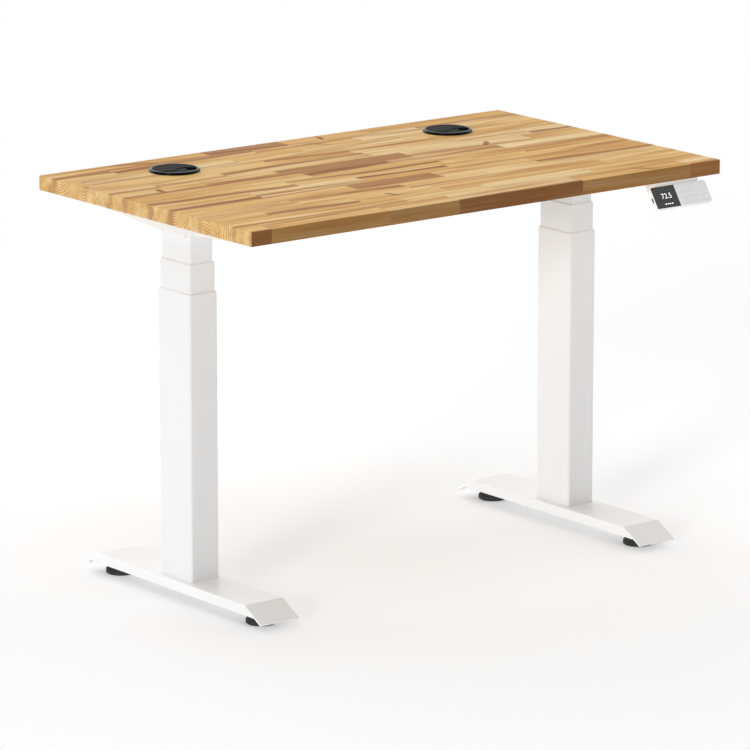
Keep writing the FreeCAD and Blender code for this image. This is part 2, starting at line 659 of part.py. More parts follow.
for end, fore in (("front", -1), ("rear", 1)):
    piece(make_rail("Rail" + end.capitalize()), "frame_rail_" + end, at(0, fore * size("rail_line")))

# ------------------------------------------------------------------------------ handset

set_place = Placement(Vector(size("set_line"), size("desk_line") - size("set_fore"), size("set_low")),
                      Rotation(Vector(1, 0, 0), -size("set_lean")))
KEY_COLUMNS = 4
KEY_ROWS = 2


def key_centre(column, row):
    """The centre of one key on the face, from the middle of the face's low edge."""
    x = "(set_wide/2 - key_margin - key_pitch/2 - %d*key_pitch)" % (KEY_COLUMNS - 1 - column)
    z = "(set_high/2 + %s*key_row)" % ("0.5" if row else "-0.5")
    return x, z


def well_corner(edge, deep):
    """Whether an edge is one of the straight corners of a key or of its well."""
    ends = [vertex.Point for vertex in edge.Vertexes]
    straight = near(edge.Length, deep) and near(ends[0].x, ends[1].x) and near(ends[0].z, ends[1].z)
    return straight and ends[0].x > size("glass_wide") - size("set_wide") / 2 + 1


def make_handset(name):
    """The handset housing: a leaning slab with wells for its keys, and a neck up to the desktop."""
    body = body_named(name)
    face = sketch_on(body, name + "Face", "XZ_Plane")
    face.AttachmentOffset = Placement(Vector(0, size("set_high") / 2, 0), Rotation())
    face.setExpression("AttachmentOffset.Base.y", bound("set_high/2"))
    rounded(face, "set_wide", "set_high", "set_corner")
    pad(body, face, "set_deep", reverse=True)
    soften(body, "1.2", lambda edge: flat_at(edge, "y", 0) or flat_at(edge, "y", size("set_deep")))
    glass = sketch_on(body, name + "Glass", "XZ_Plane")
    rectangle(glass, "glass_wide", "set_high - 2*glass_edge", "(glass_wide/2 - set_wide/2 + glass_edge)",
              "(set_high/2)")
    pocket(body, glass, "glass_deep")
    wells = sketch_on(body, name + "Wells", "XZ_Plane")
    for column in range(KEY_COLUMNS):
        for row in range(KEY_ROWS):
            rectangle(wells, "key_wide + 2*key_gap", "key_high + 2*key_gap", *key_centre(column, row))
    pocket(body, wells, "key_well")
    soften(body, "key_round + key_gap", lambda edge: well_corner(edge, size("key_well")))
    slot = sketch_on(body, name + "Slot", "YZ_Plane", "-set_wide/2")
    rectangle(slot, "slot_wide", "slot_long", "(set_deep/2 - 0.4)", "(set_high/2 - 2)")
    pocket(body, slot, "slot_deep", reverse=True)
    return body


def make_neck(name):
    """The handset's neck and mounting flange, in the desk's own upright frame."""
    body = body_named(name)
    side = sketch_on(body, name + "Side", "YZ_Plane")
    polygon(side, [("14.8", "39.5"), ("14.8", "22"), ("-1", "0"), ("34", "19"), ("40", "35"),
                   ("56", "35"), ("56", "39.5")])
    pad(body, side, "neck_wide", middle=True)
    holes = sketch_on(body, name + "Holes", "XY_Plane", "34")
    for mark in ("", "-"):
        circle(holes, "wood_screw_radius + bolt_gap", mark + "38", "48")
    pocket(body, holes, "7", reverse=True)
    return body


def make_key(name, column, row):
    """One key, proud of the face by a little."""
    body = body_named(name)
    x, z = key_centre(column, row)
    outline = sketch_on(body, name + "Outline", "XZ_Plane", "key_proud")
    rectangle(outline, "key_wide", "key_high", x, z)
    pad(body, outline, "key_deep", reverse=True)
    soften(body, "key_round", lambda edge: well_corner(edge, size("key_deep")))
    soften(body, "0.3", lambda edge: flat_at(edge, "y", -size("key_proud")))
    return body


handset = make_handset("Handset")
handset.Placement = set_place
neck = make_neck("HandsetNeck")
neck.Placement = Placement(Vector(size("set_line"), size("desk_line") - size("set_fore") + 11,
                                  size("set_low")), Rotation())
piece(fused("HandsetBody", [handset, neck]), "handset_body")

glass_plate = box("HandsetGlass", "glass_wide - 0.1", "glass_deep", "set_high - 2*glass_edge - 0.1",
                  "glass_edge - set_wide/2 + 0.05", "0", "glass_edge + 0.05")
glass_rounds = doc.addObject("Part::Fillet", "HandsetDisplay")
glass_rounds.Base = glass_plate
doc.recompute()
corner_edges = []
for number, edge in enumerate(glass_plate.Shape.Edges, start=1):
    ends = [vertex.Point for vertex in edge.Vertexes]
    if near(ends[0].x, ends[1].x) and near(ends[0].z, ends[1].z) and ends[0].x < -size("set_wide") / 4:
        corner_edges.append((number, size("set_corner") - 0.6, size("set_corner") - 0.6))
glass_rounds.Edges = corner_edges
piece(glass_rounds, "handset_display", set_place)

for row in range(KEY_ROWS):
    for column in range(KEY_COLUMNS):
        label = "key_%s_%d" % ("upper" if row else "lower", column + 1)
        piece(make_key("Key%d%d" % (row, column), column, row), label, set_place)

# ---------------------------------------------------------------------- control box

def make_control_box(name):
    """The control box: a flat housing with two lugs and a row of sockets in its rear side."""
    low = "top_under - box_high"
    block = box(name + "Block", "box_wide", "box_deep", "box_high", "-box_wide/2", "-box_deep/2", low)
    rounds = doc.addObject("Part::Fillet", name + "Rounds")
    rounds.Base = block
    doc.recompute()
    rounds.Edges = [(i, size("box_edge"), size("box_edge")) for i, edge in enumerate(block.Shape.Edges, 1)
                    if not flat_at(edge, "z", size("top_under"))]
    parts = [rounds]
    holes = []
    for i, (side_mark, fore_mark) in enumerate((("", ""), ("", "-"), ("-", ""), ("-", "-"))):
        reach = "box_wide/2 - 2" if not side_mark else "2 - box_wide/2 - lug_wide"
        parts.append(box(name + "Lug%d" % i, "lug_wide", "lug_deep", "lug_thick", reach,
                         "%slug_fore - lug_deep/2" % fore_mark, "top_under - lug_thick"))
        holes.append(cylinder(name + "LugHole%d" % i, "wood_screw_radius + bolt_gap", "lug_thick + 2",
                              side_mark + "(box_wide/2 + lug_wide/2)", fore_mark + "lug_fore",
                              "top_under - lug_thick - 1"))
    tongues = []
    for i, along in enumerate((-78, -30, 18, 66)):
        centre = "%d" % along
        holes.append(box(name + "Port%d" % i, "port_wide", "port_deep", "port_high",
                         "%s - port_wide/2" % centre, "box_deep/2 - port_deep + 1",
                         "%s + box_high/2 - port_high/2" % low))
        tongues.append(box(name + "Tongue%d" % i, "tongue_wide", "port_deep - 2", "tongue_high",
                           "%s - tongue_wide/2" % centre, "box_deep/2 - port_deep",
                           "%s + box_high/2 - tongue_high/2" % low))
    shell = cut(name + "Shell", fused(name + "Solid", parts), fused(name + "Tools", holes))
    return fused(name, [shell] + tongues)


piece(make_control_box("ControlBox"), "control_box", at(0, size("box_line")))

# ------------------------------------------------------------------ desktop and grommets

SCREW_SPOTS = [(sign * size("leg_spread"), fore) for side, sign in LEFT_RIGHT
               for fore in (size("arm_reach") - 30, size("arm_reach") / 2, -size("arm_reach") / 2,
                            30 - size("arm_reach"))]
BOX_SPOTS = [(x * (size("box_wide") / 2 + size("lug_wide") / 2), size("box_line") + y * size("lug_fore"))
             for x in (-1, 1) for y in (-1, 1)]
SET_SPOTS = [(size("set_line") + x * 38, 48 + 11 - size("set_fore")) for x in (-1, 1)]


def make_desktop(name):
    """The glued wooden board with its two grommet holes and the pilot holes for the screws."""
    body = body_named(name)
    board = sketch_on(body, name + "Board", "XY_Plane", "top_under")
    rectangle(board, "top_length", "top_depth")
    for mark in ("", "-"):
        circle(board, "hole_radius", mark + "grommet_side", "grommet_fore")
    pad(body, board, "top_thick")
    half_x, half_y = size("top_length") / 2, size("top_depth") / 2

    def outside(edge):
        ends = [vertex.Point for vertex in edge.Vertexes]
        on_x = all(near(abs(end.x), half_x) for end in ends)
        on_y = all(near(abs(end.y), half_y) for end in ends)
        return on_x or on_y

    soften(body, "top_edge", outside)
    pilots = sketch_on(body, name + "Pilots", "XY_Plane", "top_under")
    for x, y in SCREW_SPOTS + BOX_SPOTS + SET_SPOTS:
        circle(pilots, "wood_screw_radius", "%.4f" % x, "%.4f" % y)
    pocket(body, pilots, "wood_screw_deep + 1", reverse=True)
    return body


def make_grommet_ring(name):
    """The grommet's sleeve in the board with its flange on top and a seat for the lid."""
    body = body_named(name)
    top = "top_under + top_thick"
    turned(body, name + "Wall", [
        ("sleeve_bore", "%s - sleeve_deep" % top), ("sleeve_radius", "%s - sleeve_deep" % top),
        ("sleeve_radius", top), ("ring_radius", top), ("ring_radius", "%s + 1.2" % top),
        ("ring_radius - 0.8", "%s + ring_high - 0.7" % top), ("ring_radius - 2.2", "%s + ring_high" % top),
        ("sleeve_bore + 0.5", "%s + ring_high" % top), ("sleeve_bore", "%s + ring_high - 0.5" % top),
        ("sleeve_bore", "%s + ring_high - lid_drop - lid_thick" % top),
        ("seat_radius", "%s + ring_high - lid_drop - lid_thick" % top),
        ("seat_radius", "%s - seat_low + 2.6" % top), ("sleeve_bore", "%s - seat_low" % top)])
    return body


def make_grommet_lid(name):
    """The turning lid: a disc with a cable notch at its rim and a wavy scoop beside it."""
    body = body_named(name)
    low = "top_under + top_thick + ring_high - lid_drop - lid_thick"
    disc = sketch_on(body, name + "Disc", "XY_Plane", low + " + 0.05")
    circle(disc, "lid_radius")
    pad(body, disc, "lid_thick")
    soften(body, "0.5", lambda edge: near(edge.Length, 6.2832 * size("lid_radius"), 1)
           and edge.Vertexes[0].Point.z > value_of(low) + 1)
    scoop = sketch_on(body, name + "Scoop", "XY_Plane", low + " + lid_thick + 1")
    wave = [Vector(-42, -3, 0), Vector(-15, -12.5, 0), Vector(4, -5, 0), Vector(18, -2, 0),
            Vector(33, -13, 0)]
    first = Part.Arc(wave[0], wave[1], wave[2])
    second = Part.Arc(wave[2], wave[3], wave[4])
    corners = [wave[4], Vector(45, -22, 0), Vector(45, -45, 0), Vector(-45, -45, 0), wave[0]]
    scoop.addGeometry(first, False)
    scoop.addGeometry(second, False)
    for start, stop in zip(corners[:-1], corners[1:]):
        scoop.addGeometry(Part.LineSegment(start, stop), False)
    for geo in range(scoop.GeometryCount):
        scoop.addConstraint(Sketcher.Constraint("Block", geo))
    pocket(body, scoop, "scoop_deep + 1")
    notch = sketch_on(body, name + "Notch", "XY_Plane", low + " + lid_thick + 1")
    notch.AttachmentOffset = Placement(Vector(0, 0, 0), Rotation(Vector(0, 0, 1), -38))
    notch.setExpression("AttachmentOffset.Base.z", bound(low + " + lid_thick + 1"))
    rectangle(notch, "35", "18", "(lid_radius - 0.5)", "0")
    pocket(body, notch, "lid_thick + 2")
    return body


piece(make_desktop("Desktop"), "desktop", at(0, 0))
for side, sign in LEFT_RIGHT:
    spot = at(sign * size("grommet_side"), size("grommet_fore"))
    piece(make_grommet_ring("GrommetRing" + side.capitalize()), "grommet_ring_" + side, spot)
    piece(make_grommet_lid("GrommetLid" + side.capitalize()), "grommet_lid_" + side, spot)

# --------------------------------------------------------------------------- fasteners

wood_screw = bolt(size("wood_head_radius"), size("wood_head_high"), size("wood_screw_radius"),
                  size("wood_screw_deep"))
screws = []
for spots, under in ((SCREW_SPOTS, size("sheet_thick")), (BOX_SPOTS, size("lug_thick")), (SET_SPOTS, 4.5)):
    for x, y in spots:
        screws.append(set_at(wood_screw, Placement(Vector(x, y, size("top_under") - under), Rotation())))
piece(group_of("WoodScrews", screws), "wood_screws", at(0, 0))

frame_bolt = bolt(size("head_radius"), size("head_high"), size("bolt_radius"),
                  size("top_under") - size("arm_low") - 0.4)
rail_seat = size("leg_spread") - size("foot_width") / 2 + size("sheet_thick")
frame_bolts = []
for side, sign in LEFT_RIGHT:
    for x in (-1, 1):
        for y in (-1, 1):
            spot = Vector(sign * size("leg_spread") + x * size("frame_bolt_side"),
                          y * size("frame_bolt_fore"), size("arm_low"))
            frame_bolts.append(set_at(frame_bolt, Placement(spot, Rotation())))
    for fore in (-1, 1):
        spot = Vector(sign * rail_seat, fore * size("rail_line"), size("rail_mid"))
        turn = Rotation(Vector(0, 1, 0), -90 * sign)
        frame_bolts.append(set_at(frame_bolt, Placement(spot, turn)))
piece(group_of("FrameBolts", frame_bolts), "frame_bolts", at(0, 0))

# ------------------------------------------------------------------------- check, write

doc.recompute()
faults = [thing.Name for thing in doc.Objects if "Invalid" in thing.State or "Error" in thing.State]
for thing in pieces:
    if thing.Shape.isNull() or not thing.Shape.isValid() or thing.Shape.Volume <= 0:
        faults.append(thing.Label)
if faults:
    raise RuntimeError("not sound: " + ", ".join(faults))

os.makedirs("parts", exist_ok=True)
for thing in pieces:
    thing.Shape.exportStep("parts/%s.step" % thing.Label)
print(len(pieces), "pieces written")
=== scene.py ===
import math

import bmesh
import bpy
from mathutils import Matrix, Vector


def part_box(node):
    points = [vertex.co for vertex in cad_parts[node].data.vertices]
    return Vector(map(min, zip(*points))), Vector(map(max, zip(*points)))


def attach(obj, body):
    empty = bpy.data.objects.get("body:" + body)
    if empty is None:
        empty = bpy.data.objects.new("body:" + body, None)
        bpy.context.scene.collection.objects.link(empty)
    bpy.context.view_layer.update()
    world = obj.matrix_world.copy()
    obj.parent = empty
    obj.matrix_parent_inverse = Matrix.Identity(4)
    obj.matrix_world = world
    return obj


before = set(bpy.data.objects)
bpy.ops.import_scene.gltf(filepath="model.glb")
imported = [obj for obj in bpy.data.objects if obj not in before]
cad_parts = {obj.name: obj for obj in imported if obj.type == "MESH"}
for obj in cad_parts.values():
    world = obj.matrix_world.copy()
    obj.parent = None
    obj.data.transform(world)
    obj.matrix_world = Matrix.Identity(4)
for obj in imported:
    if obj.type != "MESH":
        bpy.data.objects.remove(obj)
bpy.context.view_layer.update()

MM = 0.001
STRIPS = 14                      # glued strips across the board
desk_low, desk_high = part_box("desktop")
desk_middle = (desk_low + desk_high) / 2
HANDSET_LEAN = math.radians(33.9)    # of the handset's face, back from upright
SEED = 11                        # another one draws other lengths of wood
PRINT = 0.12 * MM                # thickness of printing on the handset
SOCKET = (2.6 * MM, 3.3 * MM, 8.9 * MM)    # size of the dark insert in the handset's end
GLASS_EDGE = 0.65 * MM           # from the end of the handset to its display
SOCKET_DEEP = 4.6 * MM           # from the face of the handset to the middle of its socket
SOCKET_DROP = 2 * MM             # from the middle of the display down to that of the socket
SOCKET_INSET = 0.1 * MM          # from the end of the handset to the socket


# ------------------------------------------------------------------ shader helpers

class Signal:
    """One shader value. Arithmetic on it adds Math nodes to its finish."""

    def __init__(self, finish, socket):
        self.finish = finish
        self.socket = socket

    def math(self, operation, *others):
        node = self.finish.add("ShaderNodeMath", {"operation": operation},
                               dict(enumerate((self,) + others)))
        return Signal(self.finish, node.outputs[0])

    def __add__(self, other):
        return self.math("ADD", other)

    def __radd__(self, other):
        return self.math("ADD", other)

    def __mul__(self, other):
        return self.math("MULTIPLY", other)

    def __rmul__(self, other):
        return self.math("MULTIPLY", other)

    def __sub__(self, other):
        return self.math("SUBTRACT", other)

    def __rsub__(self, other):
        return self.math("MULTIPLY_ADD", -1.0, other)

    def __truediv__(self, other):
        return self.math("DIVIDE", other)

    def __rtruediv__(self, other):
        return self.math("POWER", -1.0) * other

    def __pow__(self, other):
        return self.math("POWER", other)

    def __rpow__(self, other):
        return (self * math.log(other)).math("EXPONENT")

    def floor(self):
        return self.math("FLOOR")

    def fract(self):
        return self.math("FRACT")

    def ramp(self, start, stop):
        """0 below start, 1 above stop, eased between."""
        node = self.finish.add("ShaderNodeMapRange", {"interpolation_type": "SMOOTHSTEP"},
                               {"Value": self, "From Min": start, "From Max": stop})
        return Signal(self.finish, node.outputs["Result"])

    def spread(self, low, high):
        """Stretch a 0 to 1 value over another range."""
        return self * (high - low) + low


class Finish:
    """A material with one Principled surface, and the nodes that drive it."""

    def __init__(self, name, **constants):
        self.material = bpy.data.materials.new(name)
        self.material.use_nodes = True
        self.tree = self.material.node_tree
        self.tree.nodes.clear()
        self.shader = self.add("ShaderNodeBsdfPrincipled", {}, {
            key.replace("_", " ").title().replace("Ior", "IOR"): value for key, value in constants.items()})
        self.add("ShaderNodeOutputMaterial", {}, {"Surface": Signal(self, self.shader.outputs[0])})
        coordinates = self.add("ShaderNodeTexCoord")
        self.place = Signal(self, coordinates.outputs["Object"])

    def add(self, kind, settings=None, sockets=None):
        """A node of any kind: its settings first, then the values or links of its sockets."""
        node = self.tree.nodes.new(kind)
        for name, value in (settings or {}).items():
            setattr(node, name, value)
        for name, value in (sockets or {}).items():
            if isinstance(value, Signal):
                self.tree.links.new(value.socket, node.inputs[name])
            else:
                node.inputs[name].default_value = value
        return node

    def drive(self, **signals):
        """Link signals to the surface's own sockets."""
        for name, signal in signals.items():
            socket = self.shader.inputs[name.replace("_", " ").title()]
            self.tree.links.new(signal.socket, socket)

    def centred(self, centre):
        """Object coordinates counted from a point."""
        node = self.add("ShaderNodeMapping", {"vector_type": "TEXTURE"},
                        {"Vector": self.place, "Location": tuple(centre)})
        return Signal(self, node.outputs[0])

    def split(self, vector):
        node = self.add("ShaderNodeSeparateXYZ", {}, {0: vector})
        return [Signal(self, socket) for socket in node.outputs]

    def join(self, x, y, z):
        node = self.add("ShaderNodeCombineXYZ", {}, {0: x, 1: y, 2: z})
        return Signal(self, node.outputs[0])

    def noise(self, vector, scale, detail=2.0, rough=0.5, warp=0.0):
        node = self.add("ShaderNodeTexNoise", {}, {"Vector": vector, "Scale": scale, "Detail": detail,
                                                   "Roughness": rough, "Distortion": warp})
        return Signal(self, node.outputs[0])

    def chance(self, x, y, seed):
        """Three random values for a cell."""
        node = self.add("ShaderNodeTexWhiteNoise", {"noise_dimensions": "3D"},
                        {"Vector": self.join(x, y, seed)})
        return self.split(Signal(self, node.outputs["Color"]))

    def mix(self, factor, first, second):
        node = self.add("ShaderNodeMix", {"data_type": "RGBA", "clamp_factor": True},
                        {0: factor, 6: self.tint(first), 7: self.tint(second)})
        return Signal(self, node.outputs[2])

    @staticmethod
    def tint(colour):
        return colour if isinstance(colour, Signal) else (*colour, 1)

    def scaled(self, vector, factors):
        node = self.add("ShaderNodeVectorMath", {"operation": "MULTIPLY"}, {0: vector, 1: factors})
        return Signal(self, node.outputs[0])

    def moved(self, vector, by):
        node = self.add("ShaderNodeVectorMath", {"operation": "ADD"}, {0: vector, 1: by})
        return Signal(self, node.outputs[0])

    def edges(self, radius):
        """1 on sharp edges and 0 on flat faces."""
        soft = self.add("ShaderNodeBevel", {"samples": 4}, {"Radius": radius})
        hard = self.add("ShaderNodeNewGeometry")
        dot = self.add("ShaderNodeVectorMath", {"operation": "DOT_PRODUCT"},
                       {0: Signal(self, soft.outputs[0]), 1: Signal(self, hard.outputs["Normal"])})
        return (1 - Signal(self, dot.outputs["Value"])).ramp(0.01, 0.18)

    def bump(self, height, distance):
        node = self.add("ShaderNodeBump", {}, {"Height": height, "Distance": distance, "Strength": 1.0})
        self.drive(normal=Signal(self, node.outputs[0]))


# ------------------------------------------------------------------------ finishes

def grey(tone):
    """A neutral colour."""
    return (min(1.0, tone),) * 3


def times(colour, share):
    """A darker or lighter tone of a colour."""
    return tuple(min(1.0, value * share) for value in colour)


def powder_coat(name, tone, rough):
    """Satin powder coat: a fine orange peel, faint cloudiness and edges painted paler, a painted highlight.
    """
    coat = Finish(name, coat_weight=0.12, coat_roughness=0.18)
    peel = coat.noise(coat.place, 260, 1)
    cloud = coat.noise(coat.place, 7, 3)
    dust = coat.noise(coat.place, 90, 4, 0.6)
    edge = coat.edges(0.9 * MM)
    shade, bright, painted_highlight = (grey(tone * share) for share in (0.975, 1.01, 1.08))
    colour = coat.mix(cloud, shade, bright)
    # painted highlight: the edges are made paler than the coat
    colour = coat.mix(edge * 0.25, colour, painted_highlight)
    coat.drive(base_color=colour, roughness=cloud.spread(rough - 0.05, rough + 0.05) + dust * 0.05)
    coat.bump(peel, 0.006 * MM)
    return coat.material


def moulded_plastic(name, colour, rough, grain, lift, gloss=0.5):
    """Moulded plastic: spark-eroded grain, uneven gloss and a painted highlight that makes the edges paler.

    The grain is a depth in millimetres, and lift is how much paler the painted highlight makes the edges.
    """
    plastic = Finish(name, specular_ior_level=gloss)
    grains = plastic.noise(plastic.place, 2600, 2, 0.6)
    cloud = plastic.noise(plastic.place, 24, 3)
    edge = plastic.edges(0.5 * MM)
    body = plastic.mix(cloud, times(colour, 0.9), times(colour, 1.08))
    # painted highlight: the edges are made paler by the lift
    edge_highlit = plastic.mix(edge * 0.4, body, times(colour, lift))
    plastic.drive(base_color=edge_highlit, roughness=cloud.spread(rough - 0.06, rough + 0.06) + grains * 0.06)
    plastic.bump(grains, grain * MM)
    return plastic.material


def turned_metal(name, colour, rough, lead=0.0, starts=1, axes=()):
    """Machined metal with fine tool marks, and a helical thread with painted shade in its grooves where a
    lead is given.
    """
    metal = Finish(name, metallic=1.0)
    x, y, z = metal.split(metal.place)
    marks = metal.noise(metal.scaled(metal.place, (60, 60, 3200)), 1, 2)
    stain = metal.noise(metal.place, 60, 3)
    body = metal.mix(stain, times(colour, 0.82), colour)
    height = marks * 0.15
    if lead:
        first, second = axes
        side = x.math("GREATER_THAN", 0.0)
        centre_x = side * (second.x - first.x) + first.x
        turn = (y - first.y).math("ARCTAN2", x - centre_x) / (2 * math.pi)
        phase = ((z / lead - turn) * starts).fract()
        groove = (phase - 0.5).math("ABSOLUTE").ramp(0.12, 0.32)
        # painted shade: the thread's grooves are darkened
        body = metal.mix(groove * 0.6, body, times(colour, 0.25))
        height = height + (1 - groove)
    metal.drive(base_color=body, roughness=stain.spread(rough - 0.08, rough + 0.1))
    metal.bump(height, (0.9 if lead else 0.01) * MM)
    return metal.material


def display_glass():
    """The smoked window over the handset's display, with faint smears."""
    glass = Finish("smoked_window", specular_ior_level=0.5)
    smear = glass.noise(glass.scaled(glass.place, (1, 3, 1)), 45, 3, 0.6, 0.8)
    dust = glass.noise(glass.place, 900, 1)
    colour = glass.mix(smear, (0.040, 0.041, 0.043), (0.052, 0.053, 0.055))
    glass.drive(base_color=colour, roughness=smear.spread(0.12, 0.20) + dust.ramp(0.7, 0.8) * 0.05)
    glass.bump(smear, 0.003 * MM)
    return glass.material


def lit_print(name, colour, glow):
    """Printed or lit figures, a little uneven."""
    ink = Finish(name, roughness=0.4, emission_strength=glow)
    mottle = ink.noise(ink.place, 1800, 2)
    tone = ink.mix(mottle, times(colour, 0.93), colour)
    ink.drive(base_color=tone, emission_color=tone)
    return ink.material


class OiledBoard(Finish):
    """A board glued from strips of short lengths of solid wood.

    Every length is cut from its own log: a centre line and a ring width are drawn for it, so rings
    run on from the top through the edges and show as arcs on the ends. Some lengths carry a streak
    of heartwood along one side, a few are heartwood all through, and a few have a small knot.
    """

    PALE_SAP = (0.92, 0.690, 0.355)
    SAP = (0.845, 0.535, 0.190)
    GOLDEN_SAP = (0.740, 0.415, 0.115)
    WARM_CLOUD = (0.72, 0.395, 0.108)
    FIGURE_DARK = (0.52, 0.215, 0.045)
    FIGURE_PALE = (0.95, 0.76, 0.44)
    RED_HEART = (0.50, 0.160, 0.030)
    BROWN_HEART = (0.260, 0.074, 0.018)
    ALL_HEART = (0.370, 0.145, 0.045)
    KNOT = (0.205, 0.085, 0.034)
    FRONT_PAINTED_SHADE = (0.200, 0.086, 0.032)
    CUT_END = (1.0, 0.78, 0.42)
    LATE_RING = (0.30, 0.115, 0.030)
    DARK_FIBRE = (0.30, 0.145, 0.055)
    PALE_FIBRE = (0.76, 0.58, 0.33)
    PORE = (0.17, 0.075, 0.032)
    GLUE_LINE = (0.20, 0.095, 0.04)
    PAINTED_EDGE_HIGHLIGHT = (0.84, 0.64, 0.38)

    # in metres, or in metres for each metre; a pair is the least and the most
    MEAN_LENGTH = (0.20, 0.27)
    LOG_ASIDE = (-0.045, 0.045)
    LOG_BELOW = (-0.06, 0.06)
    LOG_SLANT = (-0.05, 0.05)
    RING_WIDE = (0.0030, 0.0058)
    STREAK_ASIDE = (0.006, 0.020)
    STREAK_WIDE = (0.004, 0.013)
    STREAK_SLANT = (-0.07, 0.07)
    KNOT_SLANT = (-1.6, 1.6)
    KNOT_LONG = 0.011
    KNOT_WIDE = 0.020
    HALF_BOARD = 0.5

    def __init__(self, name):
        super().__init__(name, specular_ior_level=0.02)
        self.x, self.y, self.z = self.split(self.centred(desk_middle))
        self.cut_lengths()
        self.draw_lots()
        self.grow_fibres()
        self.grow_rings()
        colour = self.lay_sapwood()
        colour = self.lay_heartwood(colour)
        colour = self.lay_knots(colour)
        colour = self.lay_faces(colour)
        colour = self.lay_grain(colour)
        self.drive(base_color=colour, roughness=self.fibre.spread(0.38, 0.52) + self.pores * 0.12)
        self.bump(self.fibre * 0.4 + (1 - self.pores) * 0.4 + (1 - self.seam) * 0.5 + self.late * 0.2,
                  0.05 * MM)

    def cut_lengths(self):
        """Which strip and length a point is on, and where it lies in them."""
        strip_wide = (desk_high.y - desk_low.y) / STRIPS
        across = self.y / strip_wide + STRIPS / 2
        self.strip = across.floor()
        self.from_middle = (across - self.strip - 0.5) * strip_wide
        length_roll, shift_roll, wave_roll = self.chance(self.strip, 3.0, SEED)
        mean_length = length_roll.spread(*self.MEAN_LENGTH)
        raw = (self.x + self.HALF_BOARD) / mean_length + shift_roll * 7.0
        along = raw + (raw * 2.1 + wave_roll * 6.0).math("SINE") * 0.26
        self.block = along.floor()
        along_part = along - self.block
        self.from_centre = (along_part - 0.5) * mean_length
        seam_across = (across - self.strip - 0.5).math("ABSOLUTE").ramp(0.486, 0.5)
        seam_along = (along_part - 0.5).math("ABSOLUTE").ramp(0.4965, 0.4995)
        self.seam = seam_across.math("MAXIMUM", seam_along)

    def draw_lots(self):
        """What is drawn by chance for every length."""
        self.tone, self.streak, self.ring_roll = self.chance(self.block, self.strip, SEED + 2)
        self.side_roll, self.deep_roll, self.slant_roll = self.chance(self.block, self.strip, SEED + 5)
        self.heart_roll, self.knot_roll, self.offset = self.chance(self.block, self.strip, SEED + 9)

    def grow_fibres(self):
        """Noises drawn out along the board, other ones on each length."""
        shift = self.join(self.offset * 40.0, self.tone * 30.0, self.streak * 20.0)
        local = self.moved(self.join(self.x, self.y, self.z), shift)
        self.bend = self.noise(self.scaled(local, (3.0, 14, 14)), 1, 2) - 0.5
        self.ripple = self.noise(self.scaled(local, (9, 90, 90)), 1, 2) - 0.5
        self.figure = self.noise(self.scaled(local, (3.5, 60, 60)), 1, 3, 0.55)
        self.fibre = self.noise(self.scaled(local, (6, 420, 420)), 1, 3, 0.6)
        self.pores = self.noise(self.scaled(local, (45, 1500, 1500)), 1, 1).ramp(0.60, 0.72)

    def grow_rings(self):
        """Growth rings about the log's centre."""
        log_y = self.from_middle - self.side_roll.spread(*self.LOG_ASIDE)
        log_y = log_y - self.x * self.slant_roll.spread(*self.LOG_SLANT) + self.bend * 0.030
        log_z = self.z - self.deep_roll.spread(*self.LOG_BELOW) + self.bend * 0.012
        radius = (log_y * log_y + log_z * log_z).math("SQRT") + self.ripple * 0.0016
        ring = (radius / self.ring_roll.spread(*self.RING_WIDE)).fract()
        self.late = ring ** 2.5 * (1 - ring.ramp(0.90, 1.0))

    def lay_sapwood(self):
        """Sapwood, from pale to golden."""
        sap = self.mix(self.tone.ramp(0.0, 0.45), self.PALE_SAP, self.SAP)
        sap = self.mix(self.tone.ramp(0.45, 1.0), sap, self.GOLDEN_SAP)
        sap = self.mix((self.bend + 0.5).ramp(0.35, 0.75) * 0.40, sap, self.WARM_CLOUD)
        sap = self.mix(self.figure.ramp(0.46, 0.70) * 0.70, sap, self.FIGURE_DARK)
        return self.mix((1 - self.figure).ramp(0.50, 0.72) * 0.55, sap, self.FIGURE_PALE)

    def lay_heartwood(self, colour):
        """A streak along one side of some lengths, and a few that are heartwood all through."""
        side = (self.side_roll - 0.5).math("SIGN")
        line = self.from_middle - side * self.streak.spread(*self.STREAK_ASIDE) + self.bend * 0.030
        line = line - self.from_centre * self.slant_roll.spread(*self.STREAK_SLANT)
        inside = 1 - line.math("ABSOLUTE") / self.heart_roll.spread(*self.STREAK_WIDE)
        present = (self.heart_roll - self.streak * 0.35).ramp(0.16, 0.20)
        heart = (inside + (self.figure - 0.5) * 2.2).ramp(-0.25, 0.75) * present
        heart = heart * self.knot_roll.spread(0.35, 1.0)
        core = self.mix(self.knot_roll, self.RED_HEART, self.BROWN_HEART)
        colour = self.mix(heart * 0.92, colour, core)
        whole = (self.offset + (self.figure - 0.5) * 0.02).ramp(0.945, 0.95)
        return self.mix(whole * 0.78, colour, self.ALL_HEART)

    def lay_knots(self, colour):
        """A small slanted knot in the middle of a few lengths."""
        flame = self.from_centre + self.from_middle * self.slant_roll.spread(*self.KNOT_SLANT)
        flame = flame + self.bend * 0.03
        knot = 1 - flame.math("ABSOLUTE") / self.KNOT_LONG - (self.from_middle / self.KNOT_WIDE) ** 2.0
        knot = knot + (self.figure - 0.5) * 0.9
        knot = knot.ramp(0.0, 0.7) * (self.deep_roll - self.knot_roll * 0.2).ramp(0.74, 0.76)
        return self.mix(knot * 0.85, colour, self.KNOT)

    def lay_faces(self, colour):
        """The front edge is darkened with a painted shade, and rings stand out on the sawn ends."""
        front = (desk_low.y - desk_middle.y + 0.7 * MM - self.y).ramp(0.0, 0.5 * MM)
        # painted shade: the front edge is darkened, more on some lengths than on others
        colour = self.mix(front * (self.heart_roll * 0.6 + 0.2), colour, self.FRONT_PAINTED_SHADE)
        on_end = self.x.math("ABSOLUTE").ramp(desk_high.x - 0.7 * MM, desk_high.x - 0.2 * MM)
        colour = self.mix(on_end * 0.30, colour, self.CUT_END)
        return self.mix(self.late * on_end.spread(0.32, 0.95), colour, self.LATE_RING)

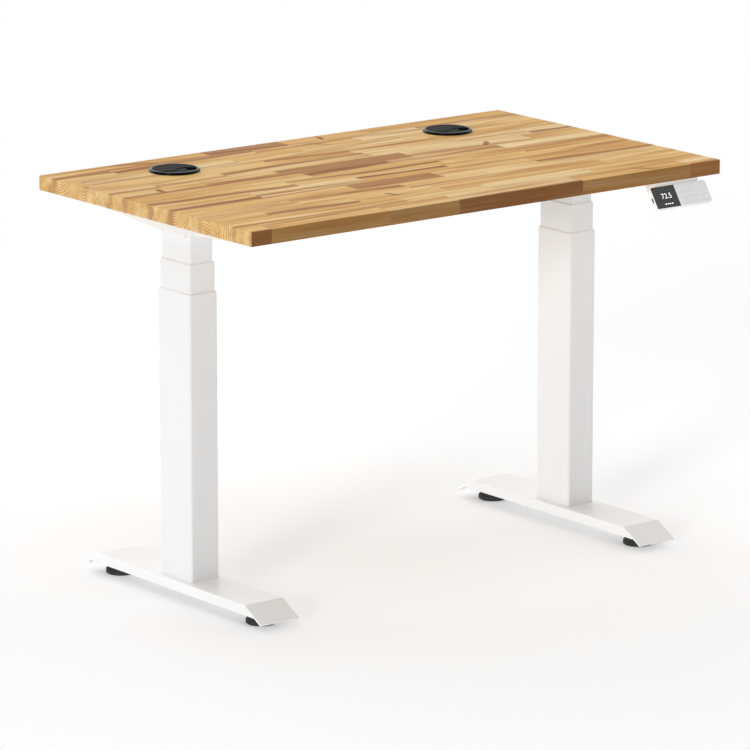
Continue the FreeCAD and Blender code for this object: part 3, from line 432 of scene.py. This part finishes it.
    def lay_grain(self, colour):
        """Fine fibres, open pores, glue lines and a painted highlight on the eased edges."""
        colour = self.mix(self.fibre.ramp(0.42, 0.78) * 0.26, colour, self.DARK_FIBRE)
        colour = self.mix((0.5 - self.fibre).ramp(0.05, 0.28) * 0.30, colour, self.PALE_FIBRE)
        colour = self.mix(self.pores * 0.18, colour, self.PORE)
        colour = self.mix(self.seam * 0.30, colour, self.GLUE_LINE)
        # painted highlight: the eased edges are made paler
        return self.mix(self.edges(1.2 * MM) * 0.25, colour, self.PAINTED_EDGE_HIGHLIGHT)


def studio_floor():
    """The pale studio floor."""
    ground = Finish("studio_floor", specular_ior_level=0.0, emission_color=(1, 1, 1, 1),
                    emission_strength=0.215)
    cloud = ground.noise(ground.place, 0.7, 2)
    ground.drive(base_color=ground.mix(cloud, (0.852, 0.858, 0.866), (0.856, 0.862, 0.870)),
                 roughness=cloud.spread(0.8, 0.85))
    return ground.material


def give(node, material):
    """Put one material on every slot of a CAD piece."""
    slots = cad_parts[node].material_slots
    for slot in slots:
        slot.link = "OBJECT"
        slot.material = material


white_steel = powder_coat("white_powder_coat", tone=0.87, rough=0.38)
# painted light: the feet get a lighter copy of the white powder coat
foot_steel_painted_light = powder_coat("white_powder_coat_foot_painted_light", tone=0.92, rough=0.36)
liner_plastic = moulded_plastic("white_liner", (0.97, 0.97, 0.965), rough=0.45, grain=0.004, lift=1.03)
black_ring = moulded_plastic("black_grommet", (0.006, 0.007, 0.008), rough=0.16, grain=0.002, lift=2.0,
                             gloss=0.055)
black_lid = moulded_plastic("black_lid", (0.0070, 0.0078, 0.0074), rough=0.38, grain=0.004, lift=1.6,
                            gloss=0.008)
black_pad = moulded_plastic("black_foot_pad", (0.018, 0.018, 0.019), rough=0.62, grain=0.02, lift=1.8)
black_case = moulded_plastic("black_case", (0.022, 0.022, 0.024), rough=0.50, grain=0.02, lift=1.8)
white_case = moulded_plastic("white_handset", (0.97, 0.97, 0.97), rough=0.40, grain=0.003, lift=1.02)
key_grey = moulded_plastic("key_grey", (0.88, 0.88, 0.89), rough=0.45, grain=0.004, lift=1.06)
motor_paint = powder_coat("motor_paint", tone=0.075, rough=0.42)
gear_paint = powder_coat("gearbox_casting", tone=0.30, rough=0.50)
screw_line = [(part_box("upper_screw_" + side)[0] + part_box("upper_screw_" + side)[1]) / 2
              for side in ("left", "right")]
threaded = turned_metal("rolled_thread", (0.60, 0.60, 0.61), rough=0.38, lead=8 * MM, starts=2,
                        axes=screw_line)
steel = turned_metal("bright_steel", (0.62, 0.62, 0.63), rough=0.38)
zinc = turned_metal("zinc_fastener", (0.66, 0.66, 0.68), rough=0.40)
bronze = turned_metal("nut_bronze", (0.72, 0.48, 0.22), rough=0.40)
window = display_glass()
board = OiledBoard("oiled_board").material

for side in ("left", "right"):
    give("foot_" + side, foot_steel_painted_light)
    for stage in ("outer", "middle", "inner"):
        give("%s_column_%s" % (stage, side), white_steel)
    give("frame_arm_" + side, white_steel)
    for part in ("outer_liner_", "middle_liner_", "middle_glide_"):
        give(part + side, liner_plastic)
    for part in ("nut_post_", "nut_carrier_"):
        give(part + side, steel)
    for part in ("lower_nut_", "upper_nut_", "worm_wheel_"):
        give(part + side, bronze)
    for part in ("lower_screw_", "upper_screw_"):
        give(part + side, threaded)
    give("foot_bolts_" + side, zinc)
    give("motor_" + side, motor_paint)
    give("gearbox_" + side, gear_paint)
    give("grommet_ring_" + side, black_ring)
    give("grommet_lid_" + side, black_lid)
    for end in ("front", "rear"):
        give("leveller_%s_%s" % (side, end), black_pad)
for end in ("front", "rear"):
    give("frame_rail_" + end, white_steel)
give("wood_screws", zinc)
give("frame_bolts", white_steel)
give("desktop", board)
give("control_box", black_case)
give("handset_body", white_case)
give("handset_display", window)
KEYS = ["key_%s_%d" % (row, column) for row in ("upper", "lower") for column in range(1, 5)]
for key in KEYS:
    give(key, key_grey)


# ------------------------------------------------------------------- handset's printing

def face_of(node):
    """Where a piece of the handset has its outer bottom left corner, and its size there.

    On that corner x runs to the right, z up the face, and the face looks along -y.
    """
    lean = Matrix.Rotation(-HANDSET_LEAN, 4, "X")
    back = lean.inverted()
    points = [back @ vertex.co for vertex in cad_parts[node].data.vertices]
    least = Vector([min(point[axis] for point in points) for axis in range(3)])
    most = Vector([max(point[axis] for point in points) for axis in range(3)])
    return lean @ Matrix.Translation(least), most - least


def set_on(name, mesh, place, body, material):
    """Put a flat shape drawn in XY on a face, as a piece that rides on a body."""
    upright = Matrix.Rotation(math.pi / 2, 4, "X")
    mesh.transform(place @ upright)
    mesh.materials.clear()
    mesh.materials.append(material)
    piece = bpy.data.objects.new(name, mesh)
    bpy.context.collection.objects.link(piece)
    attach(piece, body)


def figures(words, high):
    """Figures as a thin solid mesh, centred on the origin and of a given height."""
    curve = bpy.data.curves.new(words, "FONT")
    curve.body = words
    curve.size = 1
    text = bpy.data.objects.new(words, curve)
    mesh = bpy.data.meshes.new_from_object(text)
    bpy.data.objects.remove(text)
    bpy.data.curves.remove(curve)
    shape = bmesh.new()
    shape.from_mesh(mesh)
    bmesh.ops.remove_doubles(shape, verts=shape.verts, dist=1e-5)
    ends = [[pick(vertex.co[axis] for vertex in shape.verts) for pick in (min, max)] for axis in (0, 1)]
    middle = Vector([-sum(pair) / 2 for pair in ends] + [0])
    bmesh.ops.translate(shape, verts=shape.verts, vec=middle)
    size = high / (ends[1][1] - ends[1][0])
    bmesh.ops.scale(shape, verts=shape.verts, vec=(size, size, size))
    return thickened(shape, mesh)


def thickened(shape, mesh):
    """Give a flat shape the thickness of print, half of it below the face."""
    grown = bmesh.ops.extrude_face_region(shape, geom=shape.faces[:])
    top = [item for item in grown["geom"] if isinstance(item, bmesh.types.BMVert)]
    bmesh.ops.translate(shape, verts=top, vec=(0, 0, PRINT))
    bmesh.ops.translate(shape, verts=shape.verts, vec=(0, 0, -PRINT / 2))
    bmesh.ops.recalc_face_normals(shape, faces=shape.faces)
    bmesh.ops.triangulate(shape, faces=shape.faces)
    shape.to_mesh(mesh)
    shape.free()
    return mesh


def chevron(wide, high, stroke):
    """A printed arrow head that points up."""
    shape = bmesh.new()
    outer = [(-wide / 2, 0), (0, high), (wide / 2, 0)]
    inner = [(x, y - stroke) for x, y in reversed(outer)]
    corners = [shape.verts.new((x, y - high / 2 + stroke / 2, 0)) for x, y in outer + inner]
    shape.faces.new(corners[0:2] + corners[4:6])
    shape.faces.new(corners[1:5])
    return thickened(shape, bpy.data.meshes.new("chevron"))


def disc(radius, sides=24, stretch=1.0):
    """A printed dot, or a dash where it is stretched."""
    shape = bmesh.new()
    bmesh.ops.create_circle(shape, cap_ends=True, segments=sides, radius=radius)
    bmesh.ops.scale(shape, verts=shape.verts, vec=(stretch, 1, 1))
    return thickened(shape, bpy.data.meshes.new("disc"))


def print_display():
    """The lit height on the display, with a row of dashes below it."""
    place, size = face_of("handset_display")
    light = lit_print("lit_figures", (1.0, 1.0, 1.0), glow=0.55)
    figures_high = 9.4 * MM
    at = place @ Matrix.Translation((size.x * 0.545, 0, size.z * 0.545))
    set_on("display_height", figures("72.5", figures_high), at, "top", light)
    pitch, radius, stretch = 4.9 * MM, 1.0 * MM, 1.9
    for number in range(4):
        at = place @ Matrix.Translation((size.x * 0.40 + number * pitch, 0, size.z * 0.175))
        set_on("display_dash_%d" % number, disc(radius, 20, stretch), at, "top", light)


def print_keys():
    """Numbers and arrows on the keys."""
    # painted glow: the key printing is given a faint glow of its own
    ink = lit_print("key_print_painted_glow", (0.95, 0.95, 0.95), glow=0.12)
    legends = {"key_upper_1": "up", "key_lower_1": "down", "key_upper_2": "1", "key_upper_3": "2",
               "key_lower_2": "3", "key_lower_3": "4", "key_upper_4": "dash", "key_lower_4": "dot"}
    for key, legend in legends.items():
        place, size = face_of(key)
        at = place @ Matrix.Translation((size.x / 2, 0, size.z / 2))
        if legend in ("up", "down"):
            mesh = chevron(wide=6.4 * MM, high=2.8 * MM, stroke=1.3 * MM)
            if legend == "down":
                at = at @ Matrix.Rotation(math.pi, 4, "Y")
        elif legend == "dash":
            mesh = disc(1.1 * MM, stretch=2.6)
        elif legend == "dot":
            mesh = disc(2.2 * MM)
        else:
            mesh = figures(legend, 6.6 * MM)
        set_on(key + "_print", mesh, at, key, ink)


def fit_socket():
    """The dark socket in the slot of the handset's left end."""
    place, size = face_of("handset_display")     # the display stands beside that end
    shape = bmesh.new()
    bmesh.ops.create_cube(shape, size=1)
    bmesh.ops.scale(shape, verts=shape.verts, vec=SOCKET)
    bmesh.ops.bevel(shape, geom=shape.edges[:], offset=0.4 * MM, affect="EDGES", segments=2, profile=0.5,
                    material=-1)
    mesh = bpy.data.meshes.new("handset_socket")
    shape.to_mesh(mesh)
    shape.free()
    sunk = Vector((SOCKET[0] / 2 - GLASS_EDGE + SOCKET_INSET, SOCKET_DEEP, size.z / 2 - SOCKET_DROP))
    mesh.transform(place @ Matrix.Translation(sunk))
    mesh.materials.append(black_case)
    piece = bpy.data.objects.new("handset_socket", mesh)
    bpy.context.collection.objects.link(piece)
    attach(piece, "top")


print_display()
print_keys()
fit_socket()


# -------------------------------------------------------------------- camera and light

LENS = 256.15                    # millimetres, on a sensor 36 mm wide
CAMERA_TURN = math.radians(-37.96)    # from straight in front, towards the left
CAMERA_RISE = math.radians(13.2)
CAMERA_AWAY = 9.136
LOOKED_AT = Vector((-0.0155, desk_middle.y, 0.326))
FLOOR_HALF = 60


def set_camera():
    """A long lens, to the left front of the desk and a little above it."""
    data = bpy.data.cameras.new("studio_camera")
    data.sensor_width = 36
    data.lens = LENS
    data.clip_end = 200
    camera = bpy.data.objects.new("studio_camera", data)
    bpy.context.collection.objects.link(camera)
    back = Vector((math.sin(CAMERA_TURN) * math.cos(CAMERA_RISE),
                   -math.cos(CAMERA_TURN) * math.cos(CAMERA_RISE), math.sin(CAMERA_RISE)))
    camera.location = LOOKED_AT + back * CAMERA_AWAY
    camera.rotation_mode = "QUATERNION"
    camera.rotation_quaternion = (-back).to_track_quat("-Z", "Y")
    bpy.context.scene.camera = camera


class Sky(Finish):
    """The world, lit by a few wide glows. It shares the shader helpers of a finish."""

    def __init__(self, name):
        self.world = bpy.data.worlds.new(name)
        self.world.use_nodes = True
        self.tree = self.world.node_tree
        self.tree.nodes.clear()
        self.shader = self.add("ShaderNodeBackground", {}, {"Color": (1, 1, 1, 1)})
        self.add("ShaderNodeOutputWorld", {}, {"Surface": Signal(self, self.shader.outputs[0])})
        self.place = Signal(self, self.add("ShaderNodeTexCoord").outputs["Generated"])

    def glow(self, toward, power, strength):
        """Light that is strongest from one direction and falls off around it."""
        node = self.add("ShaderNodeVectorMath", {"operation": "DOT_PRODUCT"},
                        {0: self.place, 1: tuple(Vector(toward).normalized())})
        return Signal(self, node.outputs["Value"]).math("MAXIMUM", 0.0) ** power * strength


def far_light(name, height, round_to, energy, angle):
    """A distant soft light: degrees above the floor, and degrees from -X towards -Y."""
    data = bpy.data.lights.new(name, "SUN")
    data.energy = energy
    data.angle = math.radians(angle)
    light = bpy.data.objects.new(name, data)
    bpy.context.collection.objects.link(light)
    up, turn = math.radians(height), math.radians(round_to)
    source = Vector((-math.cos(up) * math.cos(turn), -math.cos(up) * math.sin(turn), math.sin(up)))
    light.rotation_mode = "QUATERNION"
    light.rotation_quaternion = source.to_track_quat("Z", "Y")


def set_studio():
    """A pale floor, a soft sky and two soft lights from the left."""
    floor = bpy.data.meshes.new("floor")
    mesh = bmesh.new()
    bmesh.ops.create_grid(mesh, x_segments=1, y_segments=1, size=FLOOR_HALF)
    mesh.to_mesh(floor)
    mesh.free()
    ground = bpy.data.objects.new("floor", floor)
    bpy.context.collection.objects.link(ground)
    floor.materials.append(studio_floor())
    sky = Sky("studio")
    above = sky.glow((0, 0, 1), power=3, strength=0.92)
    right = sky.glow((1, 0, 0.15), power=4, strength=1.55)
    behind = sky.glow((0, 1, 0.15), power=4, strength=2.80)
    front = sky.glow((0, -1, 0.2), power=4, strength=0.03)
    strength = above + right + behind + front
    sky.tree.links.new(strength.socket, sky.shader.inputs["Strength"])
    bpy.context.scene.world = sky.world
    far_light("low_left", height=12, round_to=27, energy=1.33, angle=16)
    far_light("high_left", height=60, round_to=24, energy=0.22, angle=25)
    bpy.context.scene.view_settings.view_transform = "Standard"


set_camera()
set_studio()
